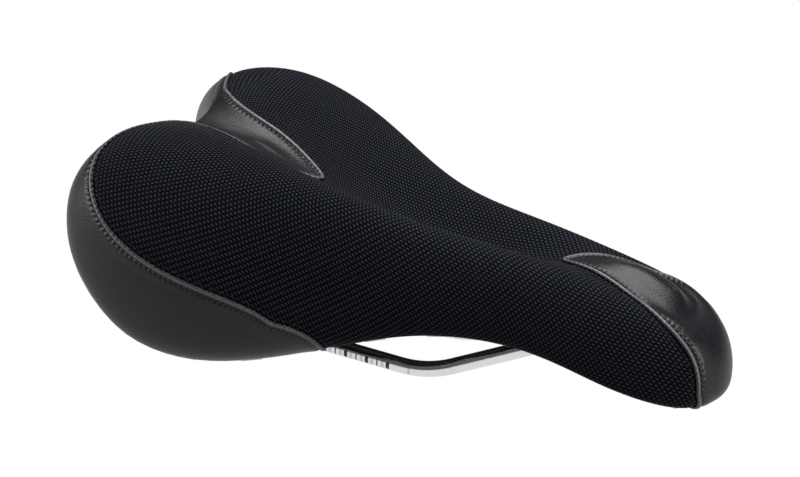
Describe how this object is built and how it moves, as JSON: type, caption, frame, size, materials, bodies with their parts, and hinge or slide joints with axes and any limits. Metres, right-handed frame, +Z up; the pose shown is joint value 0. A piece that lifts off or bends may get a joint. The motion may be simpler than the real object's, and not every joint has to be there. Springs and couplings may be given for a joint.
{
  "type": "bicycle saddle",
  "caption": "Padded bicycle saddle with a deep central channel, sewn fabric and synthetic leather cover, moulded base shell and two bent steel rails.",
  "frame": {"origin": "midway between the two rails, on their axes, at the middle of the straight run that a seatpost clamps", "axes": "+X towards the nose, +Y towards the rider's left, +Z up"},
  "size_m": [0.2822, 0.1596, 0.0964],
  "materials": {
    "fabric": "woven mesh fabric, near black, with short raised light picks",
    "synthetic_leather": "fine grained satin synthetic leather, near black",
    "thread": "polyester sewing thread",
    "foam": "moulded polyurethane foam",
    "shell_plastic": "moulded polypropylene, fine spark texture",
    "rail_steel": "satin silver plated steel rod",
    "staple_steel": "galvanised staple wire"
  },
  "bodies": {
    "root": {"base_shell": "shell_plastic", "cover_main_fabric": "fabric", "cover_nose_leather": "synthetic_leather", "cover_rear_leather": "synthetic_leather", "foam_pad": "foam", "rail_left": "rail_steel", "rail_right": "rail_steel", "seam_thread_nose_fabric_side": "thread", "seam_thread_nose_leather_side": "thread", "seam_thread_rear_fabric_side": "thread", "seam_thread_rear_leather_side": "thread", "staple_left_01": "staple_steel", "staple_left_02": "staple_steel", "staple_left_03": "staple_steel", "staple_left_04": "staple_steel", "staple_left_05": "staple_steel", "staple_left_06": "staple_steel", "staple_left_07": "staple_steel", "staple_left_08": "staple_steel", "staple_left_09": "staple_steel", "staple_left_10": "staple_steel", "staple_left_11": "staple_steel", "staple_left_12": "staple_steel", "staple_left_13": "staple_steel", "staple_right_01": "staple_steel", "staple_right_02": "staple_steel", "staple_right_03": "staple_steel", "staple_right_04": "staple_steel", "staple_right_05": "staple_steel", "staple_right_06": "staple_steel", "staple_right_07": "staple_steel", "staple_right_08": "staple_steel", "staple_right_09": "staple_steel", "staple_right_10": "staple_steel", "staple_right_11": "staple_steel", "staple_right_12": "staple_steel", "staple_right_13": "staple_steel"}
  },
  "joints": []
}
